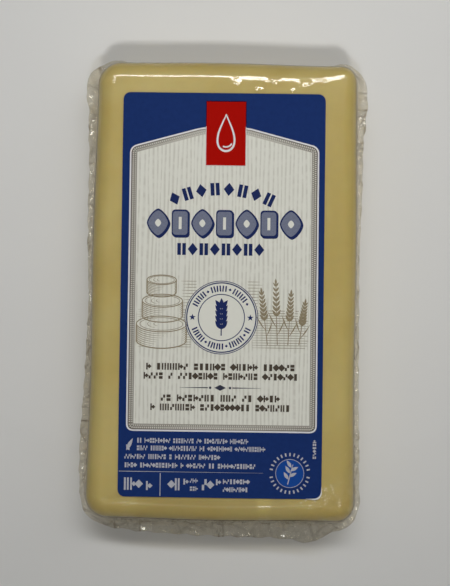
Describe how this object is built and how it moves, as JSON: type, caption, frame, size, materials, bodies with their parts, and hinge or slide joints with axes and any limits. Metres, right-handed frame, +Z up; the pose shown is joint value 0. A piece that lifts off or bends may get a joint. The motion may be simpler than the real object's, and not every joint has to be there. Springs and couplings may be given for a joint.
{
  "type": "vacuum-packed cheddar block",
  "caption": "Rectangular block of pale yellow cheddar sealed in a tight clear film pouch, with a rippled sealed rim and a dark blue printed paper label on top.",
  "frame": {"origin": "under the middle of the whole pack, on the surface that it lies on", "axes": "+Z up through the label, +Y along the block towards the label's head, +X to the right of the label as it is looked at"},
  "size_m": [0.0856, 0.1452, 0.0236],
  "materials": {
    "cheese": "pale yellow, smooth and slightly waxy, seen through tight film",
    "clear_film": "clear glossy plastic film with fine wrinkles",
    "printed_label": "satin coated paper, printed in dark blue, cream, red and brown"
  },
  "bodies": {
    "root": {"cheese_block": "cheese", "film_pouch": "clear_film", "label": "printed_label"}
  },
  "joints": []
}
